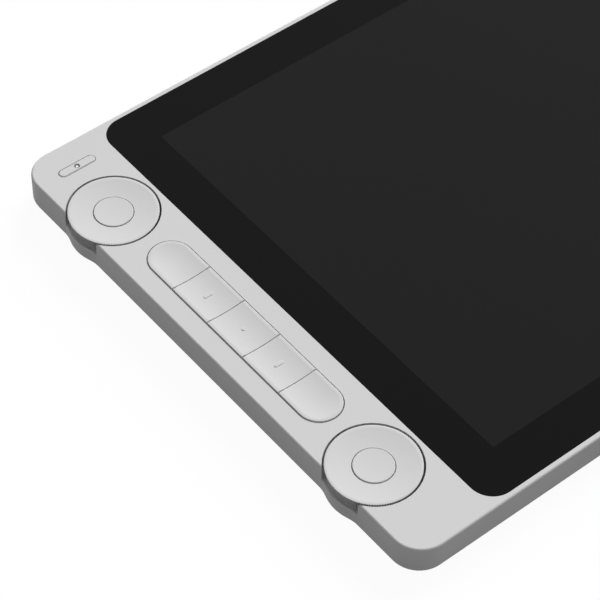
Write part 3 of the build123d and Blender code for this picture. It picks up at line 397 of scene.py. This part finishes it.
def bars_piece(name, bars, material):
    """A piece from an array of bars by stations by section points. The stations of a bar are joined
    to a tube, and a flat face closes each of its ends."""
    bar_count, stations, corners = bars.shape[:3]
    bar, station, corner = np.meshgrid(np.arange(bar_count), np.arange(stations - 1),
                                       np.arange(corners), indexing="ij")
    near = (bar * stations + station) * corners
    corner_after = (corner + 1) % corners
    sides = np.stack([near + corner, near + corner_after, near + corners + corner_after,
                      near + corners + corner], axis=-1).reshape(-1, 4)
    backwards = np.arange(corners)[::-1]
    starts = np.arange(bar_count)[:, None] * stations * corners + backwards
    ends = np.arange(1, bar_count + 1)[:, None] * stations * corners - 1 - backwards
    return new_piece(name, bars, sides.tolist() + starts.tolist() + ends.tolist(), material)


contact_gold = varied("copper_alloy_gold_plated", "#E3BE72", "#D2A95C", roughness=0.24, spread=0.06,
                      size=0.6 * MM, metallic=1.0)[0]
for number in (1, 2):
    socket_low, socket_high = (np.array(corner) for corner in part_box(f"usb_socket_{number}"))
    mouth, middle = socket_high[0], (socket_low + socket_high) / 2

    # A superellipse: the cosine and sine of an angle, each raised to a power with its sign kept.
    # At the tip's stations it shrinks by shares of the rounding.
    angles = np.linspace(0, 2 * np.pi, SECTION_POINTS, endpoint=False)
    section = np.column_stack([np.cos(angles), np.sin(angles)])
    section = np.sign(section) * np.abs(section) ** SECTION_POWER
    section = section * [TONGUE_HALF_WIDTH, TONGUE_HALF_HEIGHT]
    along = mouth - np.array([TONGUE_ROOT, TONGUE_TIP + TIP_ROUNDING,
                              TONGUE_TIP + TIP_ROUNDING / 2, TONGUE_TIP])
    inwards = TIP_ROUNDING * TIP_SHARES[:, None, None]
    loops = middle[1:] + section - np.sign(section) * np.minimum(inwards, np.abs(section))
    along = np.broadcast_to(along[:, None, None], (*loops.shape[:2], 1))
    tongue_points = np.concatenate([along, loops], axis=-1)
    tongue_piece = bars_piece(f"socket_tongue_{number}", tongue_points[None], black_nylon)
    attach(tongue_piece, "root")

    # Each contact is a strip with chamfered edges that slopes down at its tip. The lower row
    # mirrors the upper, with its points in the other order so that its faces point outwards.
    strip = np.array([[-1, 0], [1, 0], [CONTACT_CROWN_SHARE, 1], [-CONTACT_CROWN_SHARE, 1]])
    strip = strip * [CONTACT_HALF_WIDTH, CONTACT_HEIGHT]
    places = (np.arange(CONTACT_COUNT) - (CONTACT_COUNT - 1) / 2) * CONTACT_PITCH
    along = mouth - np.array([CONTACT_ROOT, CONTACT_TIP + CONTACT_SLOPE, CONTACT_TIP])
    across = middle[1] + places[:, None, None] + strip[:, 0]
    face = middle[2] + TONGUE_HALF_HEIGHT - CONTACT_SINK
    heights = face + CONTACT_HEIGHT_SHARES[None, :, None] * strip[:, 1]
    upper = np.stack(np.broadcast_arrays(along[None, :, None], across, heights), axis=-1)
    lower = upper[:, :, ::-1] * [1, 1, -1] + [0, 0, 2 * middle[2]]
    contacts = bars_piece(f"socket_contacts_{number}", np.concatenate([upper, lower]), contact_gold)
    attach(contacts, "root")

# Boards: glass-fibre laminate under a green solder mask, which lies a little higher and lighter
# over the copper tracks. The tracks are the joints of a brick pattern.
TRACK_WIDTH = 0.3 * MM
TRACK_PITCH = 1.2 * MM
TRACK_LENGTH = 6 * MM
TRACK_HEIGHT = 0.03 * MM
BLACK, WHITE = (0, 0, 0, 1), (1, 1, 1, 1)
board_laminate, board_bsdf = new_material("laminate_green_solder_mask", "#1E4A33", roughness=0.35)
tracks = add(board_laminate, "ShaderNodeTexBrick", {
    "Vector": object_place(board_laminate), "Color1": BLACK, "Color2": BLACK, "Mortar": WHITE,
    "Scale": 1.0, "Mortar Size": TRACK_WIDTH, "Brick Width": TRACK_LENGTH,
    "Row Height": TRACK_PITCH}).outputs["Color"]
add(board_laminate, "ShaderNodeMix",
    {FACTOR: tracks, COLOUR_A: linear("#1B4630"), COLOUR_B: linear("#2C6B47")},
    {COLOUR: board_bsdf.inputs["Base Color"]}, data_type="RGBA")
add(board_laminate, "ShaderNodeBump", {"Height": tracks, "Distance": TRACK_HEIGHT},
    {"Normal": board_bsdf.inputs["Normal"]})
dress(board_laminate, "digitizer_board", "main_board", "control_board", "display_driver_board")

# Flat cables: amber polyimide film, laminated over parallel copper strips that show through it as
# lighter stripes. The stripes are a wave pattern, which repeats 3.2 times per unit at scale one.
STRIP_PITCH = 0.5 * MM
WAVES_PER_UNIT = 3.2
flex_film, film_bsdf = new_material("polyimide_film_on_copper", "#A9611E", roughness=0.3)
strips = add(flex_film, "ShaderNodeTexWave", {
    "Vector": object_place(flex_film), "Scale": 1 / (WAVES_PER_UNIT * STRIP_PITCH)}).outputs["Fac"]
add(flex_film, "ShaderNodeMix",
    {FACTOR: strips, COLOUR_A: linear("#8A4A14"), COLOUR_B: linear("#C27A30")},
    {COLOUR: film_bsdf.inputs["Base Color"]}, data_type="RGBA")
dress(flex_film, "display_flex", "display_cable", "control_cable", "digitizer_cable")

# Glass tape: a ring cut from black foamed acrylic tape, dull and finely pitted. Its adhesive faces
# hold the cover glass on the casing's ledge.
foam_tape = moulded("foam_tape_black", "#191919", "#212121", roughness=0.7, grain=0.2 * MM,
                    depth=0.02 * MM)
dress(foam_tape, "glass_tape")

# Magnet rings: bonded ferrite, moulded and ground, nearly black with a dull shine. One is glued
# to each wheel, where the rotation sensor below it feels its poles pass.
ferrite = moulded("ferrite_bonded", "#2E2D2C", "#383736", roughness=0.45, grain=0.15 * MM,
                  depth=0.006 * MM)
dress(ferrite, "upper_magnet_ring", "lower_magnet_ring")

# Floor: a pale matt sheet. The camera and reflections see it white with the tablet's soft shadow,
# and light that bounces from it onto the walls is dimmer, as in a studio with dark surroundings.
FLOOR_HALF = 3.0
SHADOW_SHARE = 0.05
BOUNCE = 0.22


def seen_rays(material):
    """The output that is one for rays that show a surface to the camera, straight, mirrored or
    through glass, and zero for rays that only bring light to it."""
    rays = add(material, "ShaderNodeLightPath").outputs
    seen = add(material, "ShaderNodeMath", {0: rays["Is Camera Ray"], 1: rays["Is Glossy Ray"]},
               operation="MAXIMUM").outputs[0]
    return add(material, "ShaderNodeMath", {0: seen, 1: rays["Is Transmission Ray"]},
               operation="MAXIMUM").outputs[0]


paper = bpy.data.materials.new("paper_floor")
paper.use_nodes = True
paper.node_tree.nodes.clear()
glow = add(paper, "ShaderNodeEmission", {"Color": WHITE, "Strength": 1.0}).outputs[0]
lit = add(paper, "ShaderNodeBsdfDiffuse", {"Color": WHITE}).outputs[0]
pale = add(paper, "ShaderNodeMixShader", {0: SHADOW_SHARE, 1: glow, 2: lit}).outputs[0]
dim = add(paper, "ShaderNodeBsdfDiffuse", {"Color": (BOUNCE, BOUNCE, BOUNCE, 1)}).outputs[0]
chosen = add(paper, "ShaderNodeMixShader", {0: seen_rays(paper), 1: dim, 2: pale}).outputs[0]

# From below the sheet is clear, so that the tablet's underside can be seen through it
from_below = add(paper, "ShaderNodeNewGeometry").outputs["Backfacing"]
clear = add(paper, "ShaderNodeBsdfTransparent").outputs[0]
one_sided = add(paper, "ShaderNodeMixShader", {0: from_below, 1: chosen, 2: clear}).outputs[0]
add(paper, "ShaderNodeOutputMaterial", {"Surface": one_sided})
corners = np.array([[-1, -1, 0], [1, -1, 0], [1, 1, 0], [-1, 1, 0]]) * FLOOR_HALF
floor = new_piece("floor", corners, [(0, 1, 2, 3)], paper)

# Light: an even sky, which the camera and reflections see white, and one large soft lamp high at
# the back right. The lamp isn't mirrored, so that the glass stays as dark as in the photograph.
SKY_LIGHT = 0.30
LAMP_AZIMUTH = 21.0
LAMP_ELEVATION = 33.0
LAMP_STRENGTH = 4.04
LAMP_SPREAD = 40.0
world = bpy.data.worlds.new("studio")
bpy.context.scene.world = world
world.use_nodes = True
world.node_tree.nodes.clear()
strength = add(world, "ShaderNodeMapRange",
               {"Value": seen_rays(world), "To Min": SKY_LIGHT, "To Max": 1.0}).outputs[0]
sky = add(world, "ShaderNodeBackground", {"Color": WHITE, "Strength": strength}).outputs[0]
add(world, "ShaderNodeOutputWorld", {"Surface": sky})

# The lamp's own Z axis points back to it, at an azimuth round from X and an elevation in degrees
azimuth, elevation = np.radians([LAMP_AZIMUTH, LAMP_ELEVATION])
towards_lamp = np.array([np.cos(elevation) * np.cos(azimuth), np.cos(elevation) * np.sin(azimuth),
                         np.sin(elevation)])
lamp_data = bpy.data.lights.new("soft_lamp", "SUN")
lamp_data.energy = LAMP_STRENGTH
lamp_data.angle = np.radians(LAMP_SPREAD)
lamp = bpy.data.objects.new("soft_lamp", lamp_data)
bpy.context.scene.collection.objects.link(lamp)
sideways = np.cross([0, 0, 1], towards_lamp)
sideways /= np.linalg.norm(sideways)
upwards = np.cross(towards_lamp, sideways)
lamp.matrix_world = Matrix(np.column_stack([sideways, upwards, towards_lamp])).to_4x4()
lamp.visible_glossy = False

# Camera: at the photograph's angle, high over the tablet's front left corner, with a long lens. Its
# place is in metres, its three axes are unit vectors, and its sensor and lens are in millimetres.
CAMERA_PLACE = (-0.46916, -0.39171, 0.60437)
CAMERA_RIGHT = (0.776838, -0.629494, 0.016129)
CAMERA_UP = (0.468894, 0.595364, 0.652442)
CAMERA_BACK = (-0.420311, -0.499279, 0.757667)
SENSOR_WIDTH = 36.0
FOCAL_LENGTH = 149.258
camera_data = bpy.data.cameras.new("camera")
camera_data.sensor_width = SENSOR_WIDTH
camera_data.lens = FOCAL_LENGTH
camera = bpy.data.objects.new("camera", camera_data)
bpy.context.scene.collection.objects.link(camera)
turn = Matrix(np.column_stack([CAMERA_RIGHT, CAMERA_UP, CAMERA_BACK]))
camera.matrix_world = Matrix.Translation(CAMERA_PLACE) @ turn.to_4x4()
bpy.context.scene.camera = camera
bpy.context.scene.view_settings.view_transform = "Standard"
